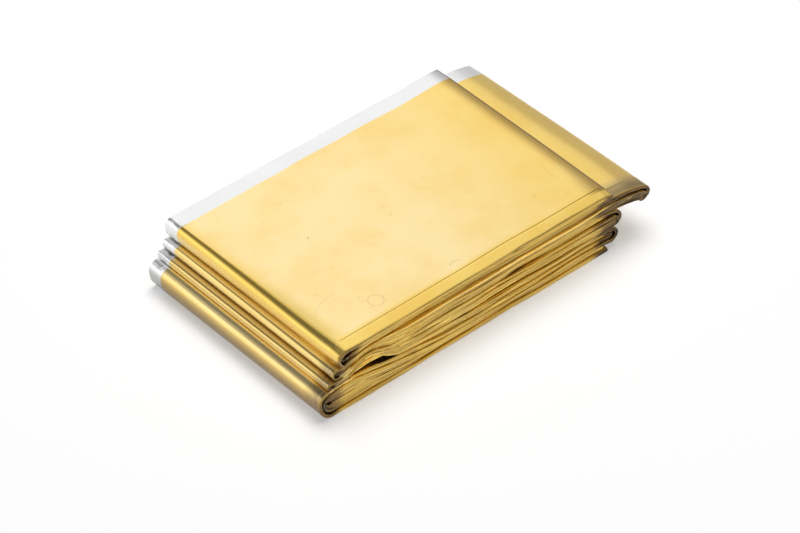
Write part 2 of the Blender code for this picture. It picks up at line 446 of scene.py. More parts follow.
# %% The rounded front edge
CREASE_IN = 5.0
BRIGHT_STRIP, BRIGHT_FROM, BRIGHT_TO, BRIGHT_RUN, BRIGHT_LEAN = 3, -38.0, 55.0, 6.0, 0.9
LEAN_WAVES = ((0.26, 19.0, 0.4), (0.20, 7.3, 2.0), (0.12, 3.1, 0.0))
LEAN_RUN = 4.0
RIDGES, RIDGE_DEPTH = 4, 0.20
RIDGE_DRIFT = ((0.9, 31.0, 0.0), (0.7, 11.0, 1.0))
RIDGE_MEAN, RIDGE_WAVES = 0.65, ((0.35, 9.0, 2.0),)


def bright_line():
    """1 along the one strip whose front edge stands clear of the others and catches the light."""
    shares = []
    for row in ROWS:
        here = row.strip == BRIGHT_STRIP and row.x < BRIGHT_TO and row.side == "pass"
        shares.append(float(here) * float(eased((row.x - BRIGHT_FROM) / BRIGHT_RUN)))
    return column_of(shares)


def front_lean():
    """The rounded front edge faces a little up in some places and a little down in others."""
    lean = uneven(0.0, ALONG, LEAN_WAVES)
    lean = lean + (BRIGHT_LEAN - lean) * bright_line()
    return lean * DEPTH * (1.0 - eased(FROM_FRONT / LEAN_RUN))


def front_ridges():
    """Lines along the rounded front edge, where the layers inside it press through."""
    size = uneven(RIDGE_MEAN, ALONG, RIDGE_WAVES)
    bulge = np.abs(np.sin(np.pi * RIDGES * ON_FOLD + uneven(0.0, ALONG, RIDGE_DRIFT)))
    ends = np.sin(np.pi * ON_FOLD) ** 0.5 * (ON_FOLD > 0)
    return RIDGE_DEPTH * size * (1.0 - bulge) * ends * (1.0 - bright_line())


across_y = across_places() + front_ridges() + front_lean()
across_y = np.maximum(across_y, -WIDTH / 2)
bent_x = widened(ROW_X, across_y)
print("across, mm:", np.round([across_y.min(), across_y.max()], 1))

# %% [markdown]
# ## How the packet bends
# The flaps on the right hang over what ends under them, the strips part in a few hollows at the
# front, and the top gives a little at its edges. A lattice could bend the whole packet, but it can't
# part two strips. Formulas on the middle of each strip bend only the passes that really bend.

# %% The middle of the strip, bent
HOLLOW_PEAK = 0.47
TOP_END, PAST_END = 61.0, 1.3
EDGE_DIP, EDGE_DIP_STRIPS = 0.24, 5.0
CORNER_DIP, CORNER_FROM, CORNER_RUN = 0.55, 5.0, 45.0
CORNER_ZONE, CORNER_WIDENING = 1.6, 7.0
CORNER_FALLS, END_FALLS = (1.0, 0.8, 0.7), (1.0, 0.55)
END_DIP, END_DIP_ZONE = 0.40, 4.0
LEFT_DIP, LEFT_DIP_FROM, LEFT_DIP_ZONE = 0.50, -53.0, 9.0
LEFT_DIP_BACK, LEFT_DIP_RUN = 12.0, 34.0
FIRM_CORNER, FIRM_CORNER_FROM, FIRM_CORNER_RUN = 0.8, 33.0, 9.0


def hollow_lift(x, y):
    """How far each strip rises over the hollows, and how much they squeeze what is above them."""
    lift = np.zeros(np.broadcast(x, y).shape)
    squeezed = np.zeros_like(lift)
    for hollow in HOLLOWS:
        along = np.clip((x - hollow.left) / (hollow.right - hollow.left), 0.0, 1.0)
        falling = (1.0 - along) / (1.0 - HOLLOW_PEAK)
        peak = np.where(along < HOLLOW_PEAK, along / HOLLOW_PEAK, falling)
        inwards = (y + WIDTH / 2) / hollow.depth
        opening = hollow.opening * (0.5 * eased(peak) + 0.5 * peak) * (1.0 - eased(inwards))
        share = np.where(STRIP_OF <= hollow.under_strip, opening / (hollow.under_strip + 1), 0.0)
        lift += share * (STRIP_OF + 0.5)
        squeezed += share
    return lift, squeezed


def hanging(x, y):
    """How far a flap moves along and down as it bends over what ends under it."""
    ends = [right_end(row.strip) for row in ROWS]
    reach = column_of([end.reach for end in ends])
    middle = column_of([STACK - 4 * RIGHT_ENDS.index(end) * PITCH for end in ends])
    towards_front = -2 * y / WIDTH
    share = np.maximum(x - DROOP_START, 0.0) / (reach - DROOP_START)
    drop = column_of([end.droop for end in ends]) * (1 + DROOP_LEAN * towards_front)
    turn = np.arctan(DROOP_POWER * share ** (DROOP_POWER - 1) * drop / (reach - DROOP_START))
    above = ROW_Z - middle
    skew = column_of([end.skew for end in ends])
    along = share * towards_front * skew / 2 + above * np.sin(turn)
    return along, share ** DROOP_POWER * drop + above * (1 - np.cos(turn))


def steeper(into, zone):
    """0 before a zone, and then steeper all the way through it and a little past its end."""
    return np.clip(into / zone, 0.0, PAST_END) ** 2


def edge_dips(x, y):
    """The top passes give a little along the front edge and more at the front right corner."""
    depth_fade = np.clip(1.0 - STRIP_OF / EDGE_DIP_STRIPS, 0.0, 1.0)
    front = EDGE_DIP * np.maximum(1.0 - FROM_FRONT / CREASE_IN, 0.0) * depth_fade
    nearness = eased((-y - CORNER_FROM) / CORNER_RUN)
    zone = CORNER_ZONE + CORNER_WIDENING * nearness
    corner = CORNER_DIP * nearness * steeper(x - TOP_END + zone, zone)
    corner = corner * np.select([STRIP_OF < 1, STRIP_OF < 2, STRIP_OF < 4], CORNER_FALLS, 0.0)
    rounding = END_DIP * steeper(x - TOP_END + END_DIP_ZONE, END_DIP_ZONE)
    upper_end = np.select([STRIP_OF < 1, STRIP_OF < 2], END_FALLS, 0.0) * (x > 0) * (1 - TURNING)
    firm = 1.0 - FIRM_CORNER * eased((-y - FIRM_CORNER_FROM) / FIRM_CORNER_RUN)
    at_left = eased((LEFT_DIP_BACK - y) / LEFT_DIP_RUN) * firm
    left = LEFT_DIP * at_left * steeper(LEFT_DIP_FROM - x, LEFT_DIP_ZONE)
    upper_loop = np.where((STRIP_OF < 1) & (x < 0), 1.0, 0.0) * (1 - TURNING)
    return front + corner + rounding * upper_end + left * upper_loop


lift, squeezed = hollow_lift(bent_x, across_y)
hang_along, hang_down = hanging(bent_x, across_y)
middle_x = bent_x + hang_along
middle_z = ROW_Z + lift - hang_down - edge_dips(bent_x, across_y)
print("middle of the strip, mm: X", round(middle_x.min(), 1), "to", round(middle_x.max(), 1))

# %% Set the layers off from the middle
RIB_LENGTH = 1.15
RIB_WAVES = ((1.0, RIB_LENGTH, 1.0, 0.0), (0.6, RIB_LENGTH * 1.7, 1.5, 1.0))
RIB_DRIFT = ((0.5, 23.0, 0.0), (0.3, 9.0, 2.0))
CREASE_DEPTH, CREASE_HALF = 0.10, 0.22
CREASE_START, CREASE_RUN = -60.5, 2.5
OUTERMOST = 0.49
FRONT_SWELL, TOP_FRONT_SHARE = 5.0, 0.86
CELL_FILL, CELL_LOOSE = 0.95, 0.16
LOOSE_LONG, LOOSE_SHORT, LOOSE_START = 13.0, 4.1, 0.6
BACK_THIN, BACK_REST, BACK_RUN = 0.80, 0.20, 7.0
FILL_RUN, FILL_SHARE = 3.5, 0.94


def outward():
    """The unit vectors in XZ that point out of the strip's outward face, for every vertex."""
    step_x, step_z = np.diff(middle_x, axis=0), np.diff(middle_z, axis=0)
    length = np.hypot(step_x, step_z)
    step_x, step_z = step_x / length, step_z / length
    along_x = np.vstack([step_x[:1], step_x[1:] + step_x[:-1], step_x[-1:]])
    along_z = np.vstack([step_z[:1], step_z[1:] + step_z[:-1], step_z[-1:]])
    length = np.hypot(along_x, along_z)
    return -along_z / length, along_x / length


def filling():
    """How much of the hollow inside each left loop its two inner strips fill, by lying loosely."""
    sizes = []
    for row in ROWS:
        loop = left_loop(row.strip)
        upper = row.strip // 4 * 4 + 1
        spread = float(eased((row.x - SQUEEZE_START) / (SQUEEZE_END - SQUEEZE_START)))
        at_left = left_height(upper) - left_height(upper + 1) - loop.pitch
        started = float(eased((row.x - loop.fill_start) / FILL_RUN))
        sizes.append(at_left * (1.0 - spread) * started * FILL_SHARE * is_inner(row.strip, "left"))
    return column_of(sizes)


def thickness():
    """The strip's thickness at every vertex: its front edge swells to fill its cell of the stack."""
    pitch = column_of([row.pitch for row in ROWS])
    flat = pitch - STRIP_GAP
    near_front = 1.0 - eased(FROM_FRONT / FRONT_SWELL)
    top_face = (STRIP_OF == 0) & (DEPTH > 0)
    loose = np.sin(ALONG / LOOSE_LONG) * np.sin(ALONG / LOOSE_SHORT + LOOSE_START)
    fill = CELL_FILL - CELL_LOOSE * np.maximum(loose, 0.0)
    front = np.where(top_face, flat * TOP_FRONT_SHARE, pitch * fill)
    back = BACK_THIN + BACK_REST * eased((WIDTH - FROM_FRONT) / BACK_RUN)
    return (flat + (front - flat) * near_front - squeezed + filling() / 2) * back


def ribs(y):
    """Fine lines along the loops, where the film was pressed flat against the layers under it."""
    size = []
    for row in ROWS:
        table = left_loop(row.strip) if row.side == "left" else right_end(row.strip)
        size.append(table.ribs if row.side != "pass" else 0.0)
    drift = uneven(0.0, y, RIB_DRIFT)
    wave = 0.0
    for height, length, wander, start in RIB_WAVES:
        wave = wave + height * np.sin(2 * np.pi * ALONG / length + wander * drift + start)
    return column_of(size) * wave * TURNING


normal_x, normal_z = outward()
crease = CREASE_DEPTH * np.exp(-((FROM_FRONT - CREASE_IN) / CREASE_HALF) ** 2) * np.sign(DEPTH)
crease = crease * (np.abs(DEPTH) > OUTERMOST) * (TURNING == 0)
crease = crease * eased((ROW_X - CREASE_START) / CREASE_RUN)
offset = DEPTH * thickness() + filling() / 4 - crease + ribs(across_y)
place_x = middle_x + normal_x * offset - MIDDLE_X
place_z = middle_z + normal_z * offset
places = np.stack([place_x, across_y + 0 * place_x, np.maximum(place_z, 0.0)], axis=-1) * MM

# %% [markdown]
# ## Where the film is painted darker or paler
# The film's colour holds painted shade: it is darker and browner round the lower faces of the loops,
# along the front fold, at the top face's right edge, in the grooves between the strips, in a few
# painted slits and at the ends. It holds painted light too: the flat top face is painted paler
# towards the left and inwards of the crease, and so are the recesses between the left loops. The top
# face also has fine scratches. These could be painted on a picture, but then they would be lost when
# the folds change. Here they are three numbers for each vertex, worked out from where it is on the
# strip, which the material reads.

# %% Painted shades round the turns
# Each left loop's painted shade on the way down it: shares of its height, and the shade at each
# of them.
LOOP_SHADES = (
    ((0.0, 0.34, 0.50, 0.66, 1.0), (1.0, 1.0, 0.82, 0.76, 0.60)),
    ((0.0, 0.10, 0.16, 0.40, 0.58, 1.0), (0.90, 0.85, 1.0, 1.0, 0.78, 0.45)),
    ((0.0, 0.25, 0.35, 0.60, 0.75, 1.0), (0.70, 0.95, 0.75, 1.0, 0.75, 0.85)),
    ((0.0, 0.05, 0.09, 0.18, 0.24, 0.34, 1.0), (0.95, 0.95, 1.0, 1.0, 0.70, 0.26, 0.12)),
)
# Painted shade in fine lines along each left loop, standing in for the shading of its ribs.
LOOP_LINES = (0.10, 0.16, 0.55, 0.10)
# Painted light in the recesses between the left loops: shares of a loop's height, and how much paler it is
# painted at each of them.
RECESS_PALE = ((0.0, 0.10, 0.20, 0.45, 0.65, 1.0), (1.0, 0.8, 0.25, 0.25, 0.9, 1.0))
RECESS_PALE_RUN, RECESS_SHADE_RUN = 6.0, 4.0
# Painted shade at the right ends' tips, and on the inner strips round the left loops.
RIGHT_SHADE, RECESS_SHADE = 0.25, 1.0
STREAK_ROWS, STREAK_SPREAD, STREAK_SEED = 9, 0.30, 11
ROW_COUNT, COLUMN_COUNT = len(ROWS), len(COLUMNS)


def turn_shades():
    """Each row's painted shade: down the left loops by a table, darker round the right ends."""
    shades = []
    for row in ROWS:
        loop, table = left_loop(row.strip), LOOP_SHADES[row.strip // 4]
        if row.side == "left":
            down = (loop.top - row.z) / (loop.top - loop.bottom)
            inner = is_inner(row.strip, "left")
            shades.append(RECESS_SHADE if inner else float(np.interp(down, *table)))
        elif row.side == "right":
            shades.append(1.0 - (1.0 - RIGHT_SHADE) * row.turning ** 0.5)
        else:
            into = row.x - pass_end(row.strip, "left")
            at_left = 1.0 - float(eased(into / RECESS_SHADE_RUN))
            end_shade = {0: table[1][0], 3: table[1][-1]}.get(row.strip % 4, RECESS_SHADE)
            shades.append(1.0 - (1.0 - end_shade) * at_left * (row.strip > 0))
    return column_of(shades)


def painted_recess_light():
    """Painted light: the film between the left loops is painted paler than on them."""
    amounts = []
    for row in ROWS:
        loop = left_loop(row.strip)
        if row.side == "left":
            down = (loop.top - row.z) / (loop.top - loop.bottom)
            amounts.append(float(np.interp(down, *RECESS_PALE)))
        else:
            into = row.x - pass_end(row.strip, "left")
            near = 1.0 - float(eased(into / RECESS_PALE_RUN))
            amounts.append(near * (row.strip > 0))
    return column_of(amounts)


def streaks():
    """Uneven dark and light lines in the painted shade along the front fold, the same each time."""
    rng = np.random.default_rng(STREAK_SEED)
    noise = rng.random((ROW_COUNT, COLUMN_COUNT))
    weights = np.hanning(STREAK_ROWS + 2)[1:-1]
    weights = weights / weights.sum()
    smooth = np.apply_along_axis(lambda line: np.convolve(line, weights, mode="same"), 0, noise)
    spread = (smooth - smooth.mean()) / smooth.std()
    return np.clip(0.5 + STREAK_SPREAD * spread, 0.0, 1.0)


def loop_lines():
    """Painted shade in fine lines the whole way along the left loops: some rows of a turn are darker."""
    rng = np.random.default_rng(STREAK_SEED + 1)
    lines = rng.random(ROW_COUNT)
    amount = [LOOP_LINES[row.strip // 4] if row.side == "left" else 0.0 for row in ROWS]
    return 1.0 - column_of(amount) * lines[:, None] * TURNING


print("turns, darkest:", round(float(turn_shades().min()), 2))

# %% Painted shades along the front
# Painted shade of short dark slits between the strips' front edges: the strip, and where they start
# and end.
PAINTED_SLITS = (
    (0, 9.0, 21.5), (0, -59.0, -46.0), (1, -60.0, -53.0), (2, 46.0, 58.0), (5, -12.0, -4.0),
    (6, 12.0, 23.0), (9, -9.0, -3.0), (10, 3.0, 9.0), (12, -31.0, -27.0), (13, 20.0, 24.0),
)
SLIT_DARK, SLIT_FROM, SLIT_RUN = 0.90, 0.35, 0.30
OUTER_LAYERS = 0.45
# The grooves between the strips' front edges: painted shade, with the paler colour of the recesses'
# painted light.
GROOVE_SHADE, GROOVE_FROM, GROOVE_RUN, GROOVE_DARK = 0.75, 2.0, 8.0, 0.15
FOLD_POWER = 0.35
# The right ends' painted shade: where it starts and how dark it is, each as a middle, a height, a
# pace and a start, because they differ from strip to strip.
END_START, END_RUN = (53.5, 2.5, 2.3, 1.0), 5.0
END_SHADE = (0.95, 0.20, 1.7, 0.0)
# Painted shade near the tips of the left loops and inside their mouths.
TIP_RUN, TIP_DEEP, TIP_DARK = 9.0, 30.0, 0.85
TIP_SHADE, INNER_TIP_SHADE = 0.45, 0.40
# Painted shade along the front fold: a plain part, streaks, the ridges' valleys and beside the bright
# line.
PLAIN_FRONT_SHADE, STREAK_FRONT_SHADE, VALLEY_FRONT_SHADE = 0.17, 0.38, 0.40
BESIDE_LINE_SHADE, LINE_RUN = 0.20, 30.0


def by_strip(middle, height, pace, start):
    """A value that differs a little from strip to strip."""
    return middle + height * np.sin(pace * STRIP_OF + start)


def slit_shade():
    """Painted shade of short dark slits between the strips' front edges."""
    dark = np.zeros((ROW_COUNT, COLUMN_COUNT))
    for strip, start, end in PAINTED_SLITS:
        share = np.clip((ROW_X - start) / (end - start), 0.0, 1.0)
        down = ON_FOLD - SLIT_FROM if strip % 2 == 0 else 1.0 - SLIT_FROM - ON_FOLD
        opening = (STRIP_OF == strip) * np.sin(np.pi * share) ** 0.5 * eased(down / SLIT_RUN)
        dark = np.maximum(dark, opening)
    return dark


# Where the painted shade goes: the rounded front fold and the grooves beside it.
beside_fold = (ON_FOLD == 0) & ((STRIP_OF > 0) | (DEPTH < 0)) & (np.abs(DEPTH) > OUTER_LAYERS)
grooves = GROOVE_SHADE * (1.0 - eased((FROM_FRONT - GROOVE_FROM) / GROOVE_RUN)) * beside_fold
rounded = np.where(ON_FOLD > 0, np.sin(np.pi * ON_FOLD) ** FOLD_POWER, 0.0)
on_front = np.maximum(rounded, grooves)
inner_left = column_of([is_inner(row.strip, "left") for row in ROWS])
from_tip = column_of([row.x - furthest(row.strip, "left") for row in ROWS])
near_tip = 1.0 - eased(from_tip / TIP_RUN)
at_right = eased((ROW_X - by_strip(*END_START)) / END_RUN)
at_ends = by_strip(*END_SHADE) * at_right + (TIP_SHADE + INNER_TIP_SHADE * inner_left) * near_tip
valley = front_ridges() / RIDGE_DEPTH
beside_line = (np.abs(STRIP_OF - BRIGHT_STRIP) == 1) * eased((ROW_X - BRIGHT_FROM) / LINE_RUN)
front_darkening = PLAIN_FRONT_SHADE + STREAK_FRONT_SHADE * streaks() + VALLEY_FRONT_SHADE * valley + at_ends
front_darkening = np.clip(front_darkening + BESIDE_LINE_SHADE * beside_line, 0.0, 1.0)
front_shade = 1.0 - on_front * front_darkening * (1.0 - bright_line())
front_shade = front_shade * (1.0 - SLIT_DARK * slit_shade() * on_front) * (1.0 - GROOVE_DARK * grooves)
# Painted shade inside the mouths of the left loops.
in_mouth = inner_left * near_tip * (1.0 - eased(FROM_FRONT / TIP_DEEP))
front_shade = front_shade * (1.0 - TIP_DARK * in_mouth)
print("front, mean shade:", round(float(front_shade[:, ON_FOLD[0] > 0].mean()), 2))

# %% Painted shade and painted light of every vertex
# Painted shade in a band along the top face's right edge, wider towards the front.
TOP_DARK, TOP_DARK_END = 0.72, 60.4
TOP_DARK_RUN, TOP_DARK_WIDER = 5.6, 4.0
TOP_WIDER_FROM, TOP_WIDER_RUN = 22.0, 24.0
# The floor of the painted shade, and a last, darker painted shade at the ends: how much, below which
# shade, and how it follows the streaks.
DARKEST, END_DARKEST, END_DARKEST_BELOW = 0.05, 0.05, 0.5
END_DARKEST_STREAK, END_DARKEST_RUN = 0.80, 0.35
# Painted light on the top face: paler towards the left and inwards of the crease, and less towards the
# right, standing in for glare and for light that falls off towards the right.
PALE_LEFT, PALE_LEFT_SLANT, PALE_LEFT_SLANT_RUN, PALE_LEFT_RUN = -60.5, 2.0, 40.0, 7.0
PALE_CREASE_GAP, PALE_CREASE_RUN = 0.2, 2.0
PALE_RIGHT, PALE_RIGHT_RUN = -8.0, 75.0
PALE_AT_LEFT, PALE_AT_RIGHT = 0.25, 0.15
TOP_LOOP_ABOVE = 22.5

dark_run = TOP_DARK_RUN + TOP_DARK_WIDER * eased((-across_y - TOP_WIDER_FROM) / TOP_WIDER_RUN)
near_edge = eased(1.0 - (TOP_DARK_END - ROW_X) / dark_run)
top_layer = (STRIP_OF == 0) & (DEPTH > 0)
edge_shade = 1.0 - TOP_DARK * near_edge * (top_layer & (FROM_FRONT > CREASE_IN - 1.0))
shade = np.clip(turn_shades() * front_shade * loop_lines() * edge_shade, DARKEST, 1.0)
# Painted shade at its darkest on the front of the right ends and the left loops' tips, in streaks.
darkest_at_ends = np.maximum(at_right, inner_left * near_tip ** 2) * on_front
uneven_darkest = eased((END_DARKEST_STREAK - streaks()) / END_DARKEST_RUN)
shade = shade - END_DARKEST * darkest_at_ends * uneven_darkest * (shade < END_DARKEST_BELOW)

pale_slant = PALE_LEFT_SLANT * eased((-across_y) / PALE_LEFT_SLANT_RUN)
from_left = eased((ROW_X - PALE_LEFT - pale_slant) / PALE_LEFT_RUN)
from_crease = eased((FROM_FRONT - CREASE_IN - PALE_CREASE_GAP) / PALE_CREASE_RUN)
from_right = 1.0 - eased((ROW_X - PALE_RIGHT) / PALE_RIGHT_RUN)
pale_left = PALE_AT_LEFT + (1.0 - PALE_AT_LEFT) * from_left
pale_right = PALE_AT_RIGHT + (1.0 - PALE_AT_RIGHT) * from_right
painted_paleness = np.where(top_layer & (TURNING == 0), pale_left * from_crease * pale_right, 0.0)
in_top_loop = (STRIP_OF < 2) & ((TURNING == 0) | (ROW_Z > TOP_LOOP_ABOVE))
# Painted light in the recesses between the loops and in the grooves, but not in the top loop.
recess_light = np.maximum(painted_recess_light() * (1.0 - on_front) * (1.0 - in_top_loop), grooves)
painted_paleness = painted_paleness + recess_light
print("shade from", round(float(shade.min()), 2), "to", round(float(shade.max()), 2))

# %% [markdown]
# ## One mesh with fine and coarse rows
# The front fold uses every row, the two outer layers use those that show, and the layers inside use
# every sixth, or every third round a turn. Where two kinds meet, a face takes in the rows between,
# so the sheet stays one surface without a slit in it. A grid with every row in every layer would be
# simpler, but over twice as heavy. The mesh gets two UV maps: one is the flat sheet itself, in
# metres, for the pattern, and one spreads the faces over a square, for baking.

# %% Make the mesh of the sheet
FOLD_ZONE = 3.0
PASS_EVERY, TURN_EVERY, FRONT_EVERY = 6, 3, 3
SHOWN_LEFT, SHOWN_RIGHT = -55.0, 54.0


def row_level(number):
    """0 for a row that every column has, 1 for one that shows and 2 for one at the front fold only."""
    row = ROWS[number]
    every = PASS_EVERY if row.side == "pass" else TURN_EVERY
    if number == ROW_COUNT - 1 or number % every == 0:
        return 0
    hidden = row.side == "pass" and row.strip > 0 and SHOWN_LEFT < row.x < SHOWN_RIGHT
    return 2 if hidden and number % FRONT_EVERY else 1


def column_level(column):
    """The finest level of rows that a column has."""
    if column.place > 2:
        return 0
    return 2 if column.from_front < FOLD_ZONE else 1


levels = [row_level(number) for number in range(ROW_COUNT)]
column_levels = [column_level(column) for column in COLUMNS]
rows_to = {level: [r for r in range(ROW_COUNT) if levels[r] <= level] for level in (0, 1, 2)}
faces = []
for c in range(COLUMN_COUNT - 1):
    shared = rows_to[min(column_levels[c], column_levels[c + 1])]
    for r0, r1 in zip(shared, shared[1:]):
        right = [(r, c + 1) for r in range(r0, r1 + 1) if levels[r] <= column_levels[c + 1]]
        left = [(r, c) for r in range(r1, r0 - 1, -1) if levels[r] <= column_levels[c]]
        faces.append((left[-1], *right, *left[:-1]))

used = sorted({corner for face in faces for corner in face})
number_of = {corner: number for number, corner in enumerate(used)}
mesh = bpy.data.meshes.new("foil_sheet")
mesh.from_pydata([places[corner] for corner in used], [], [[number_of[c] for c in face] for face in faces])
mesh.shade_smooth()
for name, values in (("shade", shade), ("painted_paleness", painted_paleness), ("recess_light", recess_light)):
    attribute = mesh.attributes.new(name, "FLOAT", "POINT")
    attribute.data.foreach_set("value", [float(values[corner]) for corner in used])

area = sum(polygon.area for polygon in mesh.polygons)
triangles = sum(len(face) - 2 for face in faces)
print(triangles, "triangles, area", round(area, 2), "m2 of", round(SHEET_WIDTH * SHEET_LENGTH, 2))

# %% Lay out its two UV maps
lengths = np.linalg.norm(np.diff(places[:, len(OUTER_PLACES) // 2], axis=0), axis=1)
down_sheet = np.concatenate([[0.0], np.cumsum(lengths)])
down_sheet *= SHEET_LENGTH / down_sheet[-1]
BAKE_BANDS, BAND_MARGIN, BAND_GAP = 3, 0.01, 6
BAKE_ENDS = ((1.0, 0.55), (1.99, 0.74), (2.0, 0.82), (SEGMENTS, 1.0))
bake_columns = [0] + [sum(c.place <= end for c in COLUMNS) - 1 for end, _ in BAKE_ENDS]
bake_shares = [0.0] + [share for _, share in BAKE_ENDS]


def bake_place(corner, band):
    """A corner's place in the bake map: bands of rows side by side, wider where the sheet shows."""
    row, col = corner
    band_rows = ROW_COUNT / BAKE_BANDS
    share = float(np.interp(col, bake_columns, bake_shares))
    u = (band + BAND_MARGIN + share * (1 - 2 * BAND_MARGIN)) / BAKE_BANDS
    v = BAND_MARGIN + (row - band * band_rows) / (band_rows + BAND_GAP) * (1 - 2 * BAND_MARGIN)
    return u, v


film_uv, bake_uv = [], []
for face in faces:
    band = min(int(min(corner[0] for corner in face) * BAKE_BANDS / ROW_COUNT), BAKE_BANDS - 1)
    for corner in face:
        film_uv += [COLUMNS[corner[1]].across, down_sheet[corner[0]]]
        bake_uv += bake_place(corner, band)
mesh.uv_layers.new(name="film").data.foreach_set("uv", film_uv)
mesh.uv_layers.new(name="OFBake").data.foreach_set("uv", bake_uv)
sheet = bpy.data.objects.new("foil_sheet", mesh)
bpy.context.scene.collection.objects.link(sheet)
print("UV maps:", [layer.name for layer in mesh.uv_layers])

# %% [markdown]
# ## Shader maths in Python
# The film's finish and the packet's unevenness are both sums of small patterns. They could be built
# by joining Math nodes by hand, but a long sum is hard to read that way. A small class lets the
# same sums be written as Python expressions, and each operator then adds its own node.

# %% A small class for node trees
class Tree:
    """Adds nodes to a tree: one call for each node, with its settings first and then its inputs."""

    def __init__(self, tree):
        self.nodes, self.links = tree.nodes, tree.links

    def node(self, kind, settings=None, inputs=None):
        made = self.nodes.new(kind)
        for name, value in (settings or {}).items():
            setattr(made, name, value)
        for name, value in (inputs or {}).items():
            self.feed(made.inputs[name], value)
        return made

    def feed(self, socket, value):
        if isinstance(value, Term):
            value = value.socket
        if isinstance(value, bpy.types.NodeSocket):
            self.links.new(value, socket)
        else:
            socket.default_value = value

    def math(self, operation, *values):
        made = self.node("ShaderNodeMath", {"operation": operation}, dict(enumerate(values)))
        return Term(self, made.outputs[0])

    def term(self, node, output="Fac"):
        return Term(self, node.outputs[output])

    def parts(self, vector):
        """The X, Y and Z of a vector, as three terms."""
        split = self.node("ShaderNodeSeparateXYZ", None, {"Vector": vector})
        return [self.term(split, axis) for axis in "XYZ"]

    def noise(self, place, scale, detail, roughness=0.5):
        """Soft spots from 0 to 1 that don't repeat, smaller for a larger scale."""
        sizes = {"Scale": scale, "Detail": detail, "Roughness": roughness}
        return self.term(self.node("ShaderNodeTexNoise", None, {"Vector": place, **sizes}))

    def mixed(self, factor, first, second):
        """The first colour where the factor is 0 and the second where it is 1."""
        values = {"Factor": factor, "A": first, "B": second}
        return self.node("ShaderNodeMix", {"data_type": "RGBA"}, values).outputs["Result"]

    def vector(self, operation, first, second):
        made = self.node("ShaderNodeVectorMath", {"operation": operation}, {0: first, 1: second})
        return made.outputs["Vector"]

    def scaled(self, vector, factor):
        values = {"Vector": vector, "Scale": factor}
        return self.node("ShaderNodeVectorMath", {"operation": "SCALE"}, values).outputs["Vector"]


class Term:
    """A number's socket that adds Math nodes when it is used in a Python expression."""

    def __init__(self, tree, socket):
        self.tree, self.socket = tree, socket

    def __add__(self, other):
        return self.tree.math("ADD", self, other)

    def __radd__(self, other):
        return self.tree.math("ADD", other, self)

    def __sub__(self, other):
        return self.tree.math("SUBTRACT", self, other)

    def __rsub__(self, other):
        return self.tree.math("SUBTRACT", other, self)

    def __mul__(self, other):
        return self.tree.math("MULTIPLY", self, other)

    def __rmul__(self, other):
        return self.tree.math("MULTIPLY", other, self)

    def __truediv__(self, other):
        return self.tree.math("DIVIDE", self, other)

    def __rtruediv__(self, other):
        return self.tree.math("DIVIDE", other, self)

    def __abs__(self):
        return self.tree.math("ABSOLUTE", self)

    def __pow__(self, other):
        return self.tree.math("POWER", self, other)

    def rise(self, start, end):
        """0 before start, 1 after end and an eased slope between."""
        made = self.tree.node(
            "ShaderNodeMapRange",
            {"interpolation_type": "SMOOTHSTEP"},
            {"Value": self, "From Min": start, "From Max": end},
        )
        return self.tree.term(made, "Result")


print("operators:", sum(name.startswith("__") for name in vars(Term)))

# %% [markdown]
# ## The film
# The real film is plastic that was coated with metal and lacquered gold, but for a narrow margin
# along the sheet's edge, which stays silver. Two materials with a seam between them could show that.
# One material is better here, because the margin follows the flat sheet's own UV map however the
# sheet is folded. It is bare metal that mirrors the room, painted darker and browner where the shade
# attribute holds painted shade, with fine dents, crinkles and pressed marks as bump.

# %% The colours and marks of the film
# GOLD and DEEP_GOLD are the film's own tones and SILVER is the bare margin. PALE_GOLD is the colour of the
# painted light on the top face, the next gold that of the painted light in the recesses, and the browns
# and the dark grey are those of the painted shade.
GOLD = (0.950, 0.655, 0.125, 1.0)
DEEP_GOLD = (0.920, 0.600, 0.085, 1.0)
PALE_GOLD = (0.960, 0.745, 0.340, 1.0)
RECESS_LIGHT_GOLD = (0.985, 0.790, 0.380, 1.0)
BROWN = (0.190, 0.115, 0.055, 1.0)
DEEP_BROWN = (0.040, 0.032, 0.022, 1.0)
SILVER = (0.88, 0.885, 0.88, 1.0)
SHADE_SILVER = (0.30, 0.30, 0.30, 1.0)

# Marks on the top face, in millimetres: arcs with a centre, a radius, the angles between which they
# run, their half width and how deep they are, and specks with a place and a size.
Arc = namedtuple("Arc", "x y radius start end half depth")
ARCS = (
    Arc(-35.1, -32.5, 2.7, -181.0, 181.0, 0.28, 0.55),
    Arc(-44.5, -37.5, 16.5, 82.0, 136.0, 0.30, 0.35),
    Arc(-3.2, -37.4, 2.6, 20.0, 150.0, 0.35, 0.60),
    Arc(20.0, -22.0, 38.0, -11.0, 17.0, 0.50, 0.45),
    Arc(12.0, -24.0, 40.0, -8.0, 9.0, 0.40, 0.30),
)
ARC_FADE_OUT, ARC_FADE_IN = 4.0, 8.0
SPECKS = ((-31.8, 5.8, 0.42), (-2.9, -3.3, 0.34), (-38.0, 22.0, 0.25), (24.0, 11.0, 0.25))
SPECK_CORE, SPECK_DEPTH = 0.4, 0.9
TOP_FACE_LOW, TOP_FACE_HIGH = 0.0245, 0.0250


